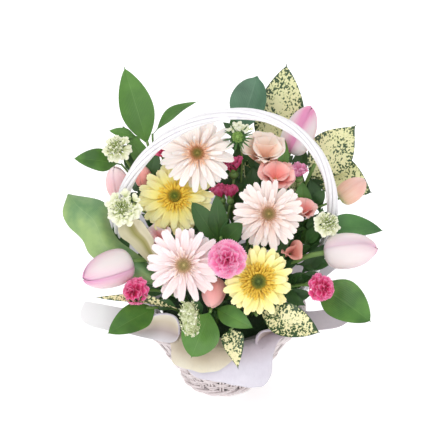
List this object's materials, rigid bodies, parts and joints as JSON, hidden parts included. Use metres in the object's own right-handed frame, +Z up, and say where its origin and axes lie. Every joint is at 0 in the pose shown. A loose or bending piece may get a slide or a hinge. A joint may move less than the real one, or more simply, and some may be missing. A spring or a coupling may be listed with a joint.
{
  "type": "flower basket arrangement",
  "caption": "Woven willow basket with a hoop handle, lined with florist's paper and filled with cut flowers and leaves that stand in floral foam.",
  "frame": {"origin": "centre of the basket's base, on the surface that it stands on", "axes": "+Z up, -Y towards the front of the arrangement, +X to the right seen from the front, along the plane of the hoop handle"},
  "size_m": [0.342, 0.2752, 0.3333],
  "materials": {
    "willow": "whitewashed peeled willow, satin",
    "liner": "dark green thin plastic",
    "foam": "wet green floral foam",
    "white_paper": "white translucent florist's fleece, matte",
    "cream_paper": "cream florist's fleece, matte",
    "gerbera_apricot": "soft petals, pale apricot",
    "gerbera_yellow_left": "soft petals, yellow",
    "gerbera_blush": "soft petals, blush",
    "gerbera_pink": "soft petals, pale pink",
    "gerbera_yellow_front": "soft petals, lemon yellow",
    "gerbera_eye": "packed florets, matte",
    "stem": "fresh green stem, satin",
    "carnation_pink": "ruffled petals, pink",
    "carnation_deep": "ruffled petals, deep pink",
    "tulip": "waxy petals, cream with lilac edges",
    "tulip_green": "waxy blue-green leaf",
    "scabiosa": "cream florets, matte",
    "scabiosa_green": "pale green buds, matte",
    "salmon": "waved petals, salmon",
    "ruscus": "glossy dark green leaf",
    "speckled_leaf": "cream-yellow leaf with dark green spots"
  },
  "bodies": {
    "root": {"basket_base": "willow", "basket_foot": "willow", "basket_handle": "willow", "basket_rim": "willow", "basket_wall": "willow", "carnation_bud_right": "carnation_deep", "carnation_buds": "carnation_deep", "carnation_centre_petals": "carnation_pink", "carnation_centre_stem": "stem", "carnation_left_petals": "carnation_deep", "carnation_left_stem": "stem", "carnation_right_petals": "carnation_deep", "carnation_right_stem": "stem", "dracaena_back": "speckled_leaf", "dracaena_front": "speckled_leaf", "dracaena_left": "speckled_leaf", "dracaena_right": "speckled_leaf", "floral_foam": "foam", "gerbera_apricot_eye": "gerbera_eye", "gerbera_apricot_petals": "gerbera_apricot", "gerbera_apricot_stem": "stem", "gerbera_blush_eye": "gerbera_eye", "gerbera_blush_petals": "gerbera_blush", "gerbera_blush_stem": "stem", "gerbera_pink_eye": "gerbera_eye", "gerbera_pink_petals": "gerbera_pink", "gerbera_pink_stem": "stem", "gerbera_yellow_front_eye": "gerbera_eye", "gerbera_yellow_front_petals": "gerbera_yellow_front", "gerbera_yellow_front_stem": "stem", "gerbera_yellow_left_eye": "gerbera_eye", "gerbera_yellow_left_petals": "gerbera_yellow_left", "gerbera_yellow_left_stem": "stem", "paper_cream": "cream_paper", "paper_white_back": "white_paper", "paper_white_front": "white_paper", "pot_liner": "liner", "ruscus_back": "ruscus", "ruscus_back_left": "ruscus", "ruscus_centre": "ruscus", "ruscus_front": "ruscus", "ruscus_front_left": "ruscus", "ruscus_inner_right": "ruscus", "ruscus_right": "ruscus", "salmon_flower_front": "salmon", "salmon_flowers_back": "salmon", "salmon_flowers_left": "salmon", "salmon_flowers_right": "salmon", "scabiosa_back_left": "scabiosa", "scabiosa_bud_drooping": "scabiosa_green", "scabiosa_bud_star": "scabiosa_green", "scabiosa_left": "scabiosa", "scabiosa_right": "scabiosa", "tulip_back_petals": "tulip", "tulip_back_stem": "tulip_green", "tulip_left_petals": "tulip", "tulip_left_stem": "tulip_green", "tulip_right_petals": "tulip", "tulip_right_stem": "tulip_green"}
  },
  "joints": []
}
